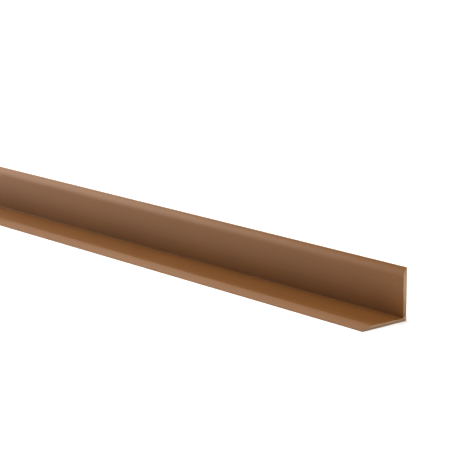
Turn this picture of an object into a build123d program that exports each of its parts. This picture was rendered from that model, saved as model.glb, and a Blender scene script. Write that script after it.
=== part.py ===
from build123d import *
import os

# Flexible skirting strip: a straight length of soft L-section extrusion, in millimetres.
# +X runs along the strip, +Y points at the wall and +Z is up. The origin is on the floor at
# mid-length, midway between the wall face and the toe.

# Overall sizes
length = 1000.0  # sold by the metre and cut square
upright_height = 25.0
foot_width = 28.0
upright_wall = 2.2  # thickness of the upright below its lip
foot_wall = 1.85  # thickness of the foot behind its toe
corner_thinning = 0.4  # how much both legs thin towards the inner corner, where the strip flexes

# Lip: the room face of the upright rolls back in an arc to a thin top edge at the wall
lip_height = 4.9  # how far below the top the roll starts
lip_edge = 0.45  # thickness left at the very top, before it is rounded
lip_round = 0.3  # radius between the roll and the top

# Toe: the top of the foot eases into a shallow bevel that ends in a thin front edge
toe_bevel = 6.4  # depth of the bevel, front to back
toe_edge = 0.5  # height left at the very front
toe_blend = 10.0  # radius between the foot's top and the bevel

# Corner radii left by the die
heel_radius = 0.6  # outer corner, where wall and floor meet
inside_radius = 0.2  # inner corner, between the two legs
edge_radius = 0.12  # corners of the toe's thin edge and the back of the lip

# The section is drawn on the end plane: first coordinate out from the wall, second up from the floor
section_plane = Plane(
    origin=(length / 2, foot_width / 2, 0), x_dir=(0, -1, 0), z_dir=(-1, 0, 0)
)
heel = (0, 0)
toe_bottom = (foot_width, 0)
toe_top = (foot_width, toe_edge)
bevel_top = (foot_width - toe_bevel, foot_wall)
inside_corner = (upright_wall - corner_thinning, foot_wall - corner_thinning)
lip_start = (upright_wall, upright_height - lip_height)
lip_top = (lip_edge, upright_height)
lip_back = (0, upright_height)

with BuildPart() as skirting_strip:
    with BuildSketch(section_plane) as section:
        with BuildLine():
            Polyline(heel, toe_bottom, toe_top, bevel_top, inside_corner, lip_start)
            TangentArc(lip_start, lip_top, tangent=(0, 1))
            Polyline(lip_top, lip_back, heel)
        make_face()
        for corner, radius in (
            (heel, heel_radius),
            (inside_corner, inside_radius),
            (bevel_top, toe_blend),
            (toe_bottom, edge_radius),
            (toe_top, edge_radius),
            (lip_top, lip_round),
            (lip_back, edge_radius),
        ):
            fillet(section.vertices().sort_by_distance(corner)[0], radius=radius)
    extrude(amount=length)

skirting_strip.part.label = "skirting_strip"

os.makedirs("parts", exist_ok=True)
export_step(skirting_strip.part, "parts/skirting_strip.step")
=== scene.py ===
"""Looks of a flexible skirting strip: the extruded skin, the cut ends, the studio and the camera.

Everything is in metres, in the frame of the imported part: +X along the strip, +Y towards the wall, +Z up.
"""

import logging
import math
from collections.abc import Sequence
from dataclasses import asdict, dataclass
from enum import Enum

import bpy
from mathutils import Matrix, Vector

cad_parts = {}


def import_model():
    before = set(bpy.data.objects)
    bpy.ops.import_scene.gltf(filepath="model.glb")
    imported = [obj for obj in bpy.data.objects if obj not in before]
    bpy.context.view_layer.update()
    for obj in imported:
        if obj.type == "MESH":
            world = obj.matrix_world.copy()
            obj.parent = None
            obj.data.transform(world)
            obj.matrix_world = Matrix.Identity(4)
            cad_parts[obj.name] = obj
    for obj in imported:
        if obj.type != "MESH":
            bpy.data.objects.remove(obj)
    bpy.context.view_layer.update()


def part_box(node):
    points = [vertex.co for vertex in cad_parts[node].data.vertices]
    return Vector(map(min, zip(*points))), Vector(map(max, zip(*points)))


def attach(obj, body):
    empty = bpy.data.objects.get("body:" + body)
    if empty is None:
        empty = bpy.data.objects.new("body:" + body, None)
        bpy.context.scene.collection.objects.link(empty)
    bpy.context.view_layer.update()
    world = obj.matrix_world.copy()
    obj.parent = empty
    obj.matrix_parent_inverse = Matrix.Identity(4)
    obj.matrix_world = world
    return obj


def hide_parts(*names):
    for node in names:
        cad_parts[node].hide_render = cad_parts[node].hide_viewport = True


log = logging.getLogger("flexible_skirting")

STRIP_NODE = "skirting_strip"
BODY = "root"
IMAGE_SIDE_PX = 450
SENSOR_WIDTH_MM = 36.0
WHITE = (1.0, 1.0, 1.0, 1.0)
NOISE_RANGE = (0.3, 0.7)  # nearly all of a noise texture lies between these
SHARE = (0.0, 1.0)  # from none to all
HALF_STEP = 0.5  # from a whole index back to the middle of the step before it
COLOUR_RESULT = 2  # a Mix node's outputs are a number, a vector and then a colour

Colour = tuple[float, float, float]
Span = tuple[float, float]
Socket = bpy.types.NodeSocket
Sockets = dict[str, Socket]


class Step(Enum):
    """How many short straight steps stand for one corner of the section."""

    NONE = 1
    TIGHT = 5
    SOFT = 10


class Carried(Enum):
    """What the points of the sweep carry with them, as a name and a type."""

    SECTION_PLACE = ("section_place", "FLOAT_VECTOR")
    SECTION_OUT = ("section_out", "FLOAT_VECTOR")
    RING_X = ("ring_x", "FLOAT")
    RING_INSET = ("ring_inset", "FLOAT")


class Light(Enum):
    """The studio's lamps, by the place that each one has round the strip."""

    OVERHEAD = "overhead_softbox"
    ROOM_SIDE = "room_side_softbox"
    FAR_ROOM = "far_room_softbox"
    FAR_END = "far_end_softbox"
    FAR_BACK = "far_back_softbox"
    FAR_WALL = "far_wall_softbox"
    WALL_SIDE = "wall_side_softbox"
    NEAR_END = "near_end_softbox"


@dataclass
class NodeSheet:
    """A node tree, with short ways to add nodes and join them.

    Attributes:
        tree: The shader or geometry tree that is being filled.
    """

    tree: bpy.types.NodeTree

    def feed(self, socket: Socket, source: object) -> None:
        """Gives an input socket its value.

        Args:
            socket: The input to fill.
            source: Another node's output, which is linked, or a plain value, which is set.
        """
        if isinstance(source, Socket):
            self.tree.links.new(source, socket)
        else:
            socket.default_value = source

    def make(self, kind: str, inputs: dict[str, object] | None = None, **settings: object) -> bpy.types.Node:
        """Adds a node and fills its inputs.

        Args:
            kind: The node's type, as Blender names it.
            inputs: Values or outputs, by the identifier of the input that takes them.
            settings: Properties of the node that are not sockets.

        Returns:
            The new node.
        """
        node = self.tree.nodes.new(kind)
        for name, value in settings.items():
            setattr(node, name, value)
        sockets = {socket.identifier: socket for socket in node.inputs}
        for identifier, source in (inputs or {}).items():
            self.feed(sockets[identifier], source)
        return node

    def result(self, kind: str, inputs: dict[str, object] | None = None, **settings: object) -> Socket:
        """Returns the first output of a node that is added with the same arguments as make takes."""
        return self.make(kind, inputs, **settings).outputs[0]

    def math(self, operation: str, *operands: object) -> Socket:
        """Adds a Math node.

        Args:
            operation: The node's operation, such as ADD.
            operands: Values or outputs, in order.

        Returns:
            The result's socket.
        """
        node = self.make("ShaderNodeMath", operation=operation)
        for socket, operand in zip(node.inputs, operands):
            self.feed(socket, operand)
        return node.outputs[0]

    def vector(self, x: object = 0.0, y: object = 0.0, z: object = 0.0) -> Socket:
        """Returns a vector that is joined from three values or outputs."""
        return self.result("ShaderNodeCombineXYZ", {"X": x, "Y": y, "Z": z})

    def split(self, vector: Socket) -> Sequence[Socket]:
        """Returns the three coordinates of a vector."""
        return self.make("ShaderNodeSeparateXYZ", {"Vector": vector}).outputs

    def scaled(self, vector: Socket, scale: Socket) -> Socket:
        """Returns a vector or colour times a number."""
        return self.result("ShaderNodeVectorMath", {"Vector": vector, "Scale": scale}, operation="SCALE")

    def ramp(self, value: object, source: Span, target: Span) -> Socket:
        """Adds a clamped Map Range node.

        Args:
            value: What is mapped.
            source: The range it comes from.
            target: The range it goes to.

        Returns:
            The mapped value's socket.
        """
        inputs = {
            "Value": value,
            "From Min": source[0],
            "From Max": source[1],
            "To Min": target[0],
            "To Max": target[1],
        }
        return self.result("ShaderNodeMapRange", inputs, clamp=True)

    def blend(self, share: Socket, first: Colour | Socket, second: Colour | Socket) -> Socket:
        """Adds a Mix node for two colours.

        Args:
            share: How much of the second colour there is, from 0 to 1.
            first: A linear colour or an output.
            second: The other colour.

        Returns:
            The mixed colour's socket.
        """
        sides = [(*side, 1.0) if isinstance(side, tuple) else side for side in (first, second)]
        inputs = {"Factor_Float": share, "A_Color": sides[0], "B_Color": sides[1]}
        return self.make("ShaderNodeMix", inputs, data_type="RGBA").outputs[COLOUR_RESULT]

    def noise(self, place: Socket, size: Sequence[float], detail: float) -> Socket:
        """Adds a noise texture.

        Args:
            place: Where it is read.
            size: Size of its grains along X, Y and Z.
            detail: How many finer layers it has.

        Returns:
            The noise's socket.
        """
        stretch = tuple(1 / side for side in size)
        stretched = self.result("ShaderNodeMapping", {"Vector": place, "Scale": stretch})
        return self.result("ShaderNodeTexNoise", {"Vector": stretched, "Scale": 1.0, "Detail": detail})

    def bump(self, height: Socket, depth: float, under: Socket | None = None) -> Socket:
        """Adds a Bump node.

        Args:
            height: The relief, from 0 to 1.
            depth: How high the relief is.
            under: The normal that it lies on, if it isn't the mesh's own.

        Returns:
            The normal's socket.
        """
        inputs = {"Height": height, "Strength": 1.0, "Distance": depth}
        if under is not None:
            inputs["Normal"] = under
        return self.result("ShaderNodeBump", inputs)

    def pick(self, index: Socket, data_type: str, items: Sequence[object]) -> Socket:
        """Adds an Index Switch node that gives each index its own item.

        Args:
            index: The field that chooses.
            data_type: The items' type, such as VECTOR.
            items: Values or outputs, in the order of the index.

        Returns:
            The chosen item's socket.
        """
        node = self.make("GeometryNodeIndexSwitch", data_type=data_type)
        while len(node.index_switch_items) < len(items):
            node.index_switch_items.new()
        for socket, source in zip(node.inputs, (index, *items)):
            self.feed(socket, source)
        return node.outputs[0]

    def choose(self, test: Socket, data_type: str, false: object, true: object) -> Socket:
        """Adds a Switch node.

        Args:
            test: The field that chooses.
            data_type: The type of both values, such as FLOAT.
            false: Value or output where the test is nought.
            true: Value or output elsewhere.

        Returns:
            The chosen value's socket.
        """
        inputs = {"Switch": test, "False": false, "True": true}
        return self.result("GeometryNodeSwitch", inputs, input_type=data_type)

    def keep(self, geometry: Socket, carried: Carried, value: Socket) -> Socket:
        """Stores a value on each point.

        Args:
            geometry: What carries the value.
            carried: Which value it is.
            value: The field that is stored.

        Returns:
            The geometry with the value.
        """
        name, data_type = carried.value
        inputs = {"Geometry": geometry, "Name": name, "Value": value}
        return self.result("GeometryNodeStoreNamedAttribute", inputs, data_type=data_type, domain="POINT")

    def recall(self, carried: Carried) -> Socket:
        """Returns the field of a stored value."""
        name, data_type = carried.value
        return self.result("GeometryNodeInputNamedAttribute", {"Name": name}, data_type=data_type)


def new_material(name: str) -> tuple[bpy.types.Material, NodeSheet, bpy.types.Node]:
    """Makes a material with a node tree.

    Args:
        name: The material's name.

    Returns:
        The material, its tree's sheet and its shader.
    """
    material = bpy.data.materials.new(name)
    material.use_nodes = True
    tree = material.node_tree
    return material, NodeSheet(tree), tree.nodes["Principled BSDF"]


def outward(turn_deg: float, elevation_deg: float) -> Vector:
    """Finds the direction from the strip to something that stands round it.

    Args:
        turn_deg: Turn round the strip: 0 is the room side, 90 the near end and -90 the far end.
        elevation_deg: Height above the floor.

    Returns:
        The direction, with a length of 1.
    """
    turn = math.radians(turn_deg)
    elevation = math.radians(elevation_deg)
    level = math.cos(elevation)
    return Vector((math.sin(turn) * level, -math.cos(turn) * level, math.sin(elevation)))


@dataclass(frozen=True)
class StripSection:
    """Sizes of the strip's L-shaped section, the same as the solid's.

    Attributes:
        upright_height: From the floor to the top of the lip.
        foot_width: From the wall face to the toe.
        upright_wall: Thickness of the upright below its lip.
        foot_wall: Thickness of the foot behind its toe.
        corner_thinning: How much both legs thin towards the inner corner.
        lip_height: How far below the top the room face starts to roll back.
        lip_edge: Thickness left at the very top, before it is rounded.
        lip_round: Radius between the roll and the top.
        toe_bevel: Depth of the toe's bevel, front to back.
        toe_edge: Height left at the very front.
        toe_blend: Radius between the foot's top and the bevel.
        heel_radius: Outer corner, where wall and floor meet.
        inside_radius: Inner corner, between the two legs.
        edge_radius: Corners of the toe's thin edge and the back of the lip.
        cut_round: Softened rim of the two cut ends.
    """

    upright_height: float
    foot_width: float
    upright_wall: float = 0.0022
    foot_wall: float = 0.00185
    corner_thinning: float = 0.0004
    lip_height: float = 0.0049
    lip_edge: float = 0.00045
    lip_round: float = 0.0003
    toe_bevel: float = 0.0064
    toe_edge: float = 0.0005
    toe_blend: float = 0.0100
    heel_radius: float = 0.0006
    inside_radius: float = 0.0002
    edge_radius: float = 0.00012
    cut_round: float = 0.0001


@dataclass
class SkirtingStrip:
    """The strip: one L-section swept along its length, with two cut ends.

    Attributes:
        section: The section's sizes.
        length: Length of the strip.
        length_steps: Pieces that the straight run is divided into.
        cut_steps: Rings that round the rim of each cut end.
        lip_steps: Straight pieces that stand for the lip's roll.
        cut_facing: How far a face has to lean towards the strip's ends to count as cut, from 0 to 1.
    """

    section: StripSection
    length: float
    length_steps: int = 100
    cut_steps: int = 3
    lip_steps: int = 14
    cut_facing: float = 0.05

    def sizes(self) -> dict[str, float]:
        """Returns the named sizes that the sweep takes as inputs, in metres."""
        named = {name.replace("_", " ").title(): size for name, size in asdict(self.section).items()}
        return {"Length": self.length, **named}

    def build(self, skin: bpy.types.Material, cut_face: bpy.types.Material) -> bpy.types.Object:
        """Sweeps the section with Geometry Nodes and keeps the result as a plain mesh.

        Args:
            skin: Finish of the extruded faces.
            cut_face: Finish of the two cut ends.

        Returns:
            The finished piece, at the origin.
        """
        piece = bpy.data.objects.new("skirting_strip_skin", bpy.data.meshes.new("sweep_start"))
        bpy.context.scene.collection.objects.link(piece)
        tree = bpy.data.node_groups.new("L-section sweep", "GeometryNodeTree")
        inputs = self._fill_tree(tree)
        sweep = piece.modifiers.new("sweep", "NODES")
        sweep.node_group = tree
        values = {**self.sizes(), "Skin": skin, "Cut Face": cut_face}
        for name, value in values.items():
            sweep[inputs[name]] = value
        weighted = piece.modifiers.new("flat legs stay flat", "WEIGHTED_NORMAL")
        weighted.keep_sharp = False
        depsgraph = bpy.context.evaluated_depsgraph_get()
        swept = bpy.data.meshes.new_from_object(piece.evaluated_get(depsgraph), depsgraph=depsgraph)
        piece.modifiers.clear()
        piece.data = swept
        swept.name = piece.name
        return piece

    def _fill_tree(self, tree: bpy.types.NodeTree) -> dict[str, str]:
        """Fills the sweep's tree.

        Args:
            tree: An empty geometry tree.

        Returns:
            The identifier of each named input.
        """
        sheet = NodeSheet(tree)
        kinds = dict.fromkeys(self.sizes(), "NodeSocketFloat")
        kinds.update(dict.fromkeys(("Skin", "Cut Face"), "NodeSocketMaterial"))
        inputs = {
            name: tree.interface.new_socket(name, in_out="INPUT", socket_type=kind).identifier
            for name, kind in kinds.items()
        }
        strip = tree.interface.new_socket("Strip", in_out="OUTPUT", socket_type="NodeSocketGeometry")
        given = {socket.name: socket for socket in sheet.make("NodeGroupInput").outputs}

        profile = self._profile(sheet, given)
        path = self._path(sheet, given)
        sweep = {"Curve": path, "Profile Curve": profile, "Fill Caps": True}
        shape = self._place(sheet, given, sheet.result("GeometryNodeCurveToMesh", sweep))
        shape = sheet.result("GeometryNodeSetShadeSmooth", {"Geometry": shape, "Shade Smooth": True})
        for carried in Carried:
            name, _ = carried.value
            shape = sheet.result("GeometryNodeRemoveAttribute", {"Geometry": shape, "Name": name})
        shape = sheet.result("GeometryNodeRealizeInstances", {"Geometry": shape})
        shape = sheet.result("GeometryNodeSetMaterial", {"Geometry": shape, "Material": given["Skin"]})
        along = sheet.math("ABSOLUTE", sheet.split(sheet.result("GeometryNodeInputNormal"))[0])
        is_cut = sheet.math("GREATER_THAN", along, self.cut_facing)
        cut = {"Geometry": shape, "Selection": is_cut, "Material": given["Cut Face"]}
        sheet.make("NodeGroupOutput", {strip.identifier: sheet.result("GeometryNodeSetMaterial", cut)})
        return inputs

    def _profile(self, sheet: NodeSheet, given: Sockets) -> Socket:
        """Draws the section as a closed curve: x out from the wall, y up from the floor.

        Args:
            sheet: The tree.
            given: The tree's inputs, by name.

        Returns:
            The section's curve, which carries each point's place and the way out of the material.
        """
        height, width = given["Upright Height"], given["Foot Width"]
        room_face, foot_top = given["Upright Wall"], given["Foot Wall"]
        toe_start = sheet.math("SUBTRACT", width, given["Toe Bevel"])
        inside = sheet.vector(
            sheet.math("SUBTRACT", room_face, given["Corner Thinning"]),
            sheet.math("SUBTRACT", foot_top, given["Corner Thinning"]),
        )
        before_lip = [
            (sheet.vector(0.0, 0.0), given["Heel Radius"], Step.SOFT),
            (sheet.vector(width, 0.0), given["Edge Radius"], Step.TIGHT),
            (sheet.vector(width, given["Toe Edge"]), given["Edge Radius"], Step.TIGHT),
            (sheet.vector(toe_start, foot_top), given["Toe Blend"], Step.SOFT),
            (inside, given["Inside Radius"], Step.SOFT),
        ]
        after_lip = [
            (sheet.vector(given["Lip Edge"], height), given["Lip Round"], Step.TIGHT),
            (sheet.vector(0.0, height), given["Edge Radius"], Step.TIGHT),
        ]
        places, radii, steps = zip(*before_lip, *after_lip)

        # The points of the roll are counted in between the corners before and after it
        index = sheet.result("GeometryNodeInputIndex")
        lip_first = len(before_lip)
        lip_end = lip_first + self.lip_steps
        rolled = sheet.ramp(index, (lip_first, lip_end), (0.0, self.lip_steps))
        corner = sheet.math("SUBTRACT", index, rolled)
        from_lip = sheet.math("GREATER_THAN", index, lip_first - HALF_STEP)
        past_lip = sheet.math("GREATER_THAN", index, lip_end - HALF_STEP)
        on_lip = sheet.math("SUBTRACT", from_lip, past_lip)
        lip_place = self._roll(sheet, given, sheet.math("DIVIDE", rolled, self.lip_steps))
        place = sheet.choose(on_lip, "VECTOR", sheet.pick(corner, "VECTOR", places), lip_place)
        radius = sheet.choose(on_lip, "FLOAT", sheet.pick(corner, "FLOAT", radii), 0.0)
        corner_steps = sheet.pick(corner, "INT", [step.value for step in steps])
        count = sheet.choose(on_lip, "INT", corner_steps, Step.NONE.value)

        point_count = len(places) + self.lip_steps
        points = sheet.result("GeometryNodePoints", {"Count": point_count, "Position": place})
        line = sheet.result("GeometryNodePointsToCurves", {"Points": points})
        closed = sheet.result("GeometryNodeSetSplineCyclic", {"Geometry": line, "Cyclic": True})
        corners = {"Curve": closed, "Radius": radius, "Count": count, "Limit Radius": True}
        rounded = sheet.result("GeometryNodeFilletCurve", corners, mode="POLY")
        run = sheet.split(sheet.result("GeometryNodeInputTangent"))
        out = sheet.vector(run[1], sheet.math("MULTIPLY", run[0], -1.0))
        kept = sheet.keep(rounded, Carried.SECTION_PLACE, sheet.result("GeometryNodeInputPosition"))
        return sheet.keep(kept, Carried.SECTION_OUT, out)

    @staticmethod
    def _roll(sheet: NodeSheet, given: Sockets, share: Socket) -> Socket:
        """Draws the lip's roll: an arc that leaves the room face upright and ends at the top.

        Args:
            sheet: The tree.
            given: The tree's inputs, by name.
            share: How far along the roll a point is, from 0 to 1.

        Returns:
            The point's place in the section.
        """
        rise = given["Lip Height"]
        depth = sheet.math("SUBTRACT", given["Upright Wall"], given["Lip Edge"])
        chord_squared = sheet.math("MULTIPLY_ADD", depth, depth, sheet.math("MULTIPLY", rise, rise))
        radius = sheet.math("DIVIDE", chord_squared, sheet.math("MULTIPLY", depth, 2.0))
        turn = sheet.math("MULTIPLY", sheet.math("ARCSINE", sheet.math("DIVIDE", rise, radius)), share)
        centre = sheet.math("SUBTRACT", given["Upright Wall"], radius)
        start = sheet.math("SUBTRACT", given["Upright Height"], rise)
        return sheet.vector(
            sheet.math("MULTIPLY_ADD", sheet.math("COSINE", turn), radius, centre),
            sheet.math("MULTIPLY_ADD", sheet.math("SINE", turn), radius, start),
        )

    def _path(self, sheet: NodeSheet, given: Sockets) -> Socket:
        """Draws the strip's run as a line of rings, close together at the rims of the cut ends.

        Args:
            sheet: The tree.
            given: The tree's inputs, by name.

        Returns:
            The run's curve, which carries each ring's place and how far its outline is drawn in.
        """
        last_ring = self.length_steps + 2 * self.cut_steps
        radius = given["Cut Round"]
        half_run = sheet.math("SUBTRACT", sheet.math("DIVIDE", given["Length"], 2.0), radius)
        index = sheet.result("GeometryNodeInputIndex")
        from_end = sheet.math("MINIMUM", index, sheet.math("SUBTRACT", last_ring, index))
        turn = sheet.ramp(from_end, (0.0, self.cut_steps), (0.0, math.pi / 2))
        share = sheet.ramp(index, (self.cut_steps, last_ring - self.cut_steps), (-1.0, 1.0))
        side = sheet.math("SIGN", sheet.math("SUBTRACT", index, last_ring / 2))
        beyond = sheet.math("MULTIPLY", sheet.math("MULTIPLY", sheet.math("COSINE", turn), radius), side)
        ring_x = sheet.math("MULTIPLY_ADD", share, half_run, beyond)
        inset = sheet.math("MULTIPLY", sheet.math("SUBTRACT", 1.0, sheet.math("SINE", turn)), radius)
        rings = {"Count": last_ring + 1, "Position": sheet.vector(ring_x)}
        kept = sheet.keep(sheet.result("GeometryNodePoints", rings), Carried.RING_X, ring_x)
        kept = sheet.keep(kept, Carried.RING_INSET, inset)
        return sheet.result("GeometryNodePointsToCurves", {"Points": kept})

    @staticmethod
    def _place(sheet: NodeSheet, given: Sockets, swept: Socket) -> Socket:
        """Moves the swept points to the part's frame and draws the cut rims in.

        Args:
            sheet: The tree.
            given: The tree's inputs, by name.
            swept: The swept mesh.

        Returns:
            The mesh in its place.
        """
        drawn_in = sheet.scaled(sheet.recall(Carried.SECTION_OUT), sheet.recall(Carried.RING_INSET))
        sides = {"Vector": sheet.recall(Carried.SECTION_PLACE), "Vector_001": drawn_in}
        outline = sheet.split(sheet.result("ShaderNodeVectorMath", sides, operation="SUBTRACT"))
        wall_face = sheet.math("DIVIDE", given["Foot Width"], 2.0)
        position = sheet.vector(
            sheet.recall(Carried.RING_X), sheet.math("SUBTRACT", wall_face, outline[0]), outline[1]
        )
        return sheet.result("GeometryNodeSetPosition", {"Geometry": swept, "Position": position})


@dataclass(frozen=True)
class SkinFinish:
    """Smooth brown soft plastic, as it leaves the die: satin, with faint lines along the strip.

    Attributes:
        colour: Mean colour, linear.
        shade_spread: Share by which lines and clouds lighten or darken the colour.
        roughness: Lowest and highest roughness.
        ior: Refractive index.
        line_pitch: Width of a die line, across the strip.
        line_run: Length over which a die line fades or wanders.
        line_depth: Height of the die lines.
        line_detail: Finer layers of the die lines.
        line_weight: Part that the die lines have in the shade, with the clouds having the rest.
        cloud_size: Size of the slow changes of shade.
        cloud_detail: Finer layers of the clouds.
        grain_size: Size of the fine grain.
        grain_depth: Height of the fine grain.
        grain_detail: Finer layers of the grain.
    """

    colour: Colour = (0.269, 0.117, 0.0225)
    shade_spread: float = 0.06
    roughness: Span = (0.33, 0.43)
    ior: float = 1.56
    line_pitch: float = 0.0014
    line_run: float = 0.30
    line_depth: float = 0.00002
    line_detail: float = 3.0
    line_weight: float = 0.6
    cloud_size: float = 0.030
    cloud_detail: float = 2.0
    grain_size: float = 0.0004
    grain_depth: float = 0.000004
    grain_detail: float = 1.0

    def material(self) -> bpy.types.Material:
        """Makes the finish.

        Returns:
            The finish as a new material.
        """
        material, sheet, shader = new_material("soft_pvc_skin")
        place = sheet.make("ShaderNodeTexCoord").outputs["Object"]
        lines = sheet.noise(place, (self.line_run, self.line_pitch, self.line_pitch), self.line_detail)
        clouds = sheet.noise(place, [self.cloud_size] * 3, self.cloud_detail)
        grain = sheet.noise(place, [self.grain_size] * 3, self.grain_detail)
        cloud_part = sheet.math("MULTIPLY", clouds, 1 - self.line_weight)
        shade = sheet.math("MULTIPLY_ADD", lines, self.line_weight, cloud_part)
        darkest = tuple(channel * (1 - self.shade_spread) for channel in self.colour)
        lightest = tuple(channel * (1 + self.shade_spread) for channel in self.colour)
        tint = sheet.blend(sheet.ramp(shade, NOISE_RANGE, SHARE), darkest, lightest)
        sheet.feed(shader.inputs["Base Color"], tint)
        sheet.feed(shader.inputs["Roughness"], sheet.ramp(lines, NOISE_RANGE, self.roughness))
        line_bump = sheet.bump(lines, self.line_depth)
        sheet.feed(shader.inputs["Normal"], sheet.bump(grain, self.grain_depth, under=line_bump))
        shader.inputs["IOR"].default_value = self.ior
        return material


@dataclass(frozen=True)
class CutFinish:
    """The knife-cut end: paler and duller than the skin, with fine strokes down the cut.

    Attributes:
        colour: Colour of a clean cut, at the top of the upright, linear.
        painted_shade_colour: Painted shade at the root of the upright, darker and more saturated towards the
            inner corner.
        painted_shade_run: Heights between which the painted shade fades into the clean colour.
        foot_colour: Colour of the foot's cut.
        foot_run: Heights between which the foot's cut gives way to the upright's painted shade.
        painted_shadow_height: Height of the painted shadow along the underside, where the cut meets the
            floor.
        painted_shadow_level: What is left of the colour in the painted shadow at the floor.
        shade_spread: Share by which the strokes lighten or darken the colour.
        roughness: Lowest and highest roughness.
        ior: Refractive index.
        stroke_pitch: Width of one stroke of the knife.
        stroke_run: Length of one stroke.
        stroke_depth: Height of the strokes.
        stroke_detail: Finer layers of the strokes.
    """

    colour: Colour = (0.450, 0.326, 0.214)
    painted_shade_colour: Colour = (0.296, 0.188, 0.116)
    painted_shade_run: Span = (0.002, 0.015)
    foot_colour: Colour = (0.418, 0.280, 0.172)
    foot_run: Span = (0.0018, 0.0026)
    painted_shadow_height: float = 0.0014
    painted_shadow_level: float = 0.60
    shade_spread: float = 0.12
    roughness: Span = (0.6, 0.8)
    ior: float = 1.5
    stroke_pitch: float = 0.0003
    stroke_run: float = 0.004
    stroke_depth: float = 0.00002
    stroke_detail: float = 2.0

    def material(self) -> bpy.types.Material:
        """Makes the finish.

        Returns:
            The finish as a new material.
        """
        material, sheet, shader = new_material("soft_pvc_cut")
        place = sheet.make("ShaderNodeTexCoord").outputs["Object"]
        stroke_size = (self.stroke_run, self.stroke_pitch, self.stroke_run)
        strokes = sheet.noise(place, stroke_size, self.stroke_detail)
        height = sheet.split(place)[2]
        # Painted shade: the upright's cut darkens towards its root at the inner corner, and the foot's cut
        # is kept out of it
        upright = sheet.blend(sheet.ramp(height, self.painted_shade_run, SHARE), self.painted_shade_colour, self.colour)
        tint = sheet.blend(sheet.ramp(height, self.foot_run, SHARE), self.foot_colour, upright)
        stroke = sheet.ramp(strokes, NOISE_RANGE, (1 - self.shade_spread, 1 + self.shade_spread))
        # Painted shadow: the cut darkens along its underside, next to the floor
        rim = sheet.ramp(height, (0.0, self.painted_shadow_height), (self.painted_shadow_level, 1.0))
        sheet.feed(shader.inputs["Base Color"], sheet.scaled(tint, sheet.math("MULTIPLY", stroke, rim)))
        sheet.feed(shader.inputs["Roughness"], sheet.ramp(strokes, NOISE_RANGE, self.roughness))
        sheet.feed(shader.inputs["Normal"], sheet.bump(strokes, self.stroke_depth))
        shader.inputs["IOR"].default_value = self.ior
        return material


@dataclass(frozen=True)
class Softbox:
    """One soft square lamp, hung on a sphere round its target.

    Attributes:
        light: Which lamp it is.
        turn_deg: Turn round the strip: 0 is the room side, 90 the near end and -90 the far end.
        elevation_deg: Height above the floor.
        power: Power in watts.
        distance: From the target.
        side: Side of its face.
        lowest: Least height of its middle above the floor.
    """

    light: Light
    turn_deg: float
    elevation_deg: float
    power: float
    distance: float = 2.0
    side: float = 1.2
    lowest: float = 0.62

    def build(self, target: Vector) -> bpy.types.Object:
        """Hangs the lamp.

        Args:
            target: What it points at.

        Returns:
            The lamp.
        """
        data = bpy.data.lights.new(self.light.value, "AREA")
        data.shape = "SQUARE"
        data.size = self.side
        data.energy = self.power
        lamp = bpy.data.objects.new(self.light.value, data)
        lamp.location = target + outward(self.turn_deg, self.elevation_deg) * self.distance
        lamp.location.z = max(lamp.location.z, self.lowest)
        lamp.rotation_euler = (target - lamp.location).to_track_quat("-Z", "Y").to_euler()
        bpy.context.scene.collection.objects.link(lamp)
        return lamp


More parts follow.
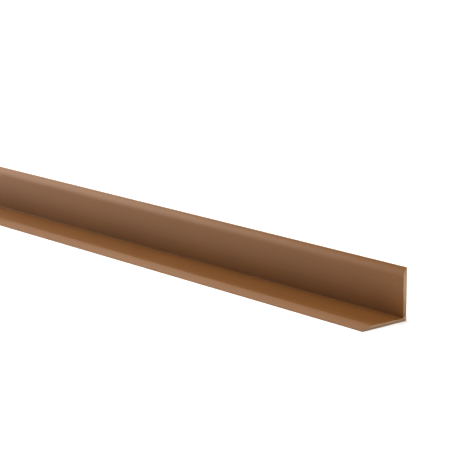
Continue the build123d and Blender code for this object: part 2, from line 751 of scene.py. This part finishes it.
@dataclass(frozen=True)
class Studio:
    """A glowing pale floor and soft lamps, in pale surroundings.

    Attributes:
        near_end: Where the strip's near end is, along X.
        target_inset: From the near end to what the lamps point at.
        softboxes: The lamps.
        floor_side: Side of the square floor.
        floor_colour: Colour of the floor, linear.
        floor_roughness: Roughness of the floor.
        floor_glow: Light that the floor gives off, as a table lit from below does.
        floor_seen: The glow that the picture shows under the lamps, where the floor is then just white.
        floor_far: The glow that the picture shows beyond the lamps, which keeps the floor white there.
        lit_reach: Distances from the middle between which the one changes to the other.
        surround: Brightness of the surroundings where they are seen.
        contrast_gamma: Gamma of the picture: under 1 deepens the shades, as the photograph's tone does.
    """

    near_end: float
    target_inset: float = 0.25
    softboxes: tuple[Softbox, ...] = (
        Softbox(Light.OVERHEAD, 0.0, 89.0, 33.4),
        Softbox(Light.ROOM_SIDE, -45.0, 15.0, 12.6),
        Softbox(Light.FAR_ROOM, -70.0, 15.0, 11.0),
        Softbox(Light.FAR_END, -90.0, 15.0, 5.0),
        Softbox(Light.FAR_BACK, -115.0, 15.0, 6.8),
        Softbox(Light.FAR_WALL, -135.0, 45.0, 8.7),
        Softbox(Light.WALL_SIDE, 180.0, 45.0, 8.4),
        Softbox(Light.NEAR_END, 90.0, 15.0, 8.6),
    )
    floor_side: float = 12.0
    floor_colour: Colour = (0.86, 0.86, 0.86)
    floor_roughness: float = 0.9
    floor_glow: float = 0.65
    floor_seen: float = 0.15
    floor_far: float = 1.0
    lit_reach: Span = (0.7, 1.3)
    surround: float = 1.0
    contrast_gamma: float = 0.75

    def build(self) -> None:
        """Lays the floor, hangs the lamps and sets the surroundings and the tone of the picture."""
        floor = self._floor()
        log.info("floor %s, %.1f m square", floor.name, self.floor_side)
        self._surroundings()
        target = Vector((self.near_end - self.target_inset, 0.0, 0.0))
        for softbox in self.softboxes:
            lamp = softbox.build(target)
            log.info("lamp %s at %s", lamp.name, tuple(round(axis, 3) for axis in lamp.location))
        tone = bpy.context.scene.view_settings
        tone.view_transform = "Standard"
        tone.gamma = self.contrast_gamma

    def _floor(self) -> bpy.types.Object:
        """Lays the pale floor.

        Returns:
            The floor.
        """
        half = self.floor_side / 2
        mesh = bpy.data.meshes.new("studio_floor")
        corners = [(-half, -half, 0.0), (half, -half, 0.0), (half, half, 0.0), (-half, half, 0.0)]
        mesh.from_pydata(corners, [], [(0, 1, 2, 3)])
        material, sheet, shader = new_material("studio_floor")
        shader.inputs["Base Color"].default_value = (*self.floor_colour, 1.0)
        shader.inputs["Roughness"].default_value = self.floor_roughness
        shader.inputs["Emission Color"].default_value = WHITE
        place = sheet.make("ShaderNodeTexCoord").outputs["Object"]
        distance = sheet.make("ShaderNodeVectorMath", {"Vector": place}, operation="LENGTH").outputs["Value"]
        shown = sheet.ramp(distance, self.lit_reach, (self.floor_seen, self.floor_far))
        seen = sheet.make("ShaderNodeLightPath").outputs["Is Camera Ray"]
        glows = {"Factor_Float": seen, "A_Float": self.floor_glow, "B_Float": shown}
        sheet.feed(shader.inputs["Emission Strength"], sheet.result("ShaderNodeMix", glows))
        mesh.materials.append(material)
        floor = bpy.data.objects.new("studio_floor", mesh)
        bpy.context.scene.collection.objects.link(floor)
        return floor

    def _surroundings(self) -> None:
        """Sets the pale surroundings, which are seen but add no light of their own."""
        world = bpy.data.worlds.new("studio_surroundings")
        world.use_nodes = True
        sheet = NodeSheet(world.node_tree)
        background = world.node_tree.nodes["Background"]
        seen = sheet.make("ShaderNodeLightPath").outputs["Is Camera Ray"]
        background.inputs["Color"].default_value = WHITE
        sheet.feed(background.inputs["Strength"], sheet.math("MULTIPLY", seen, self.surround))
        bpy.context.scene.world = world


@dataclass(frozen=True)
class PhotoCamera:
    """The camera at the photograph's place.

    Attributes:
        offset: From the heel of the near end to the camera.
        turn_deg: Turn round the strip: 0 looks along +Y and 90 along -X.
        elevation_deg: Height above the horizon.
        focal_px: Focal length in pixels of the photograph.
    """

    offset: tuple[float, float, float] = (0.5044, -0.5444, 0.2072)
    turn_deg: float = 49.17
    elevation_deg: float = 12.44
    focal_px: float = 1686.8

    def build(self, heel: Vector) -> bpy.types.Object:
        """Places the camera and makes it the scene's.

        Args:
            heel: The strip's corner at the near end, where wall and floor meet.

        Returns:
            The camera.
        """
        data = bpy.data.cameras.new("photo_camera")
        data.sensor_width = SENSOR_WIDTH_MM
        data.lens = self.focal_px / IMAGE_SIDE_PX * SENSOR_WIDTH_MM
        camera = bpy.data.objects.new("photo_camera", data)
        camera.location = heel + Vector(self.offset)
        ahead = -outward(self.turn_deg, self.elevation_deg)
        camera.rotation_euler = ahead.to_track_quat("-Z", "Y").to_euler()
        bpy.context.scene.collection.objects.link(camera)
        bpy.context.scene.camera = camera
        return camera


def main() -> None:
    """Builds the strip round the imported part, and the studio and the camera round the strip."""
    logging.basicConfig(level=logging.INFO, format="%(name)s: %(message)s")
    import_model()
    low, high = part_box(STRIP_NODE)
    section = StripSection(upright_height=high.z - low.z, foot_width=high.y - low.y)
    strip = SkirtingStrip(section, length=high.x - low.x)
    piece = strip.build(SkinFinish().material(), CutFinish().material())
    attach(piece, BODY)
    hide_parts(STRIP_NODE)
    log.info("piece %s: %d faces", piece.name, len(piece.data.polygons))
    Studio(near_end=high.x).build()
    camera = PhotoCamera().build(heel=Vector((high.x, high.y, low.z)))
    log.info("camera %s at %s", camera.name, tuple(round(axis, 3) for axis in camera.location))


if __name__ == "__main__":
    main()
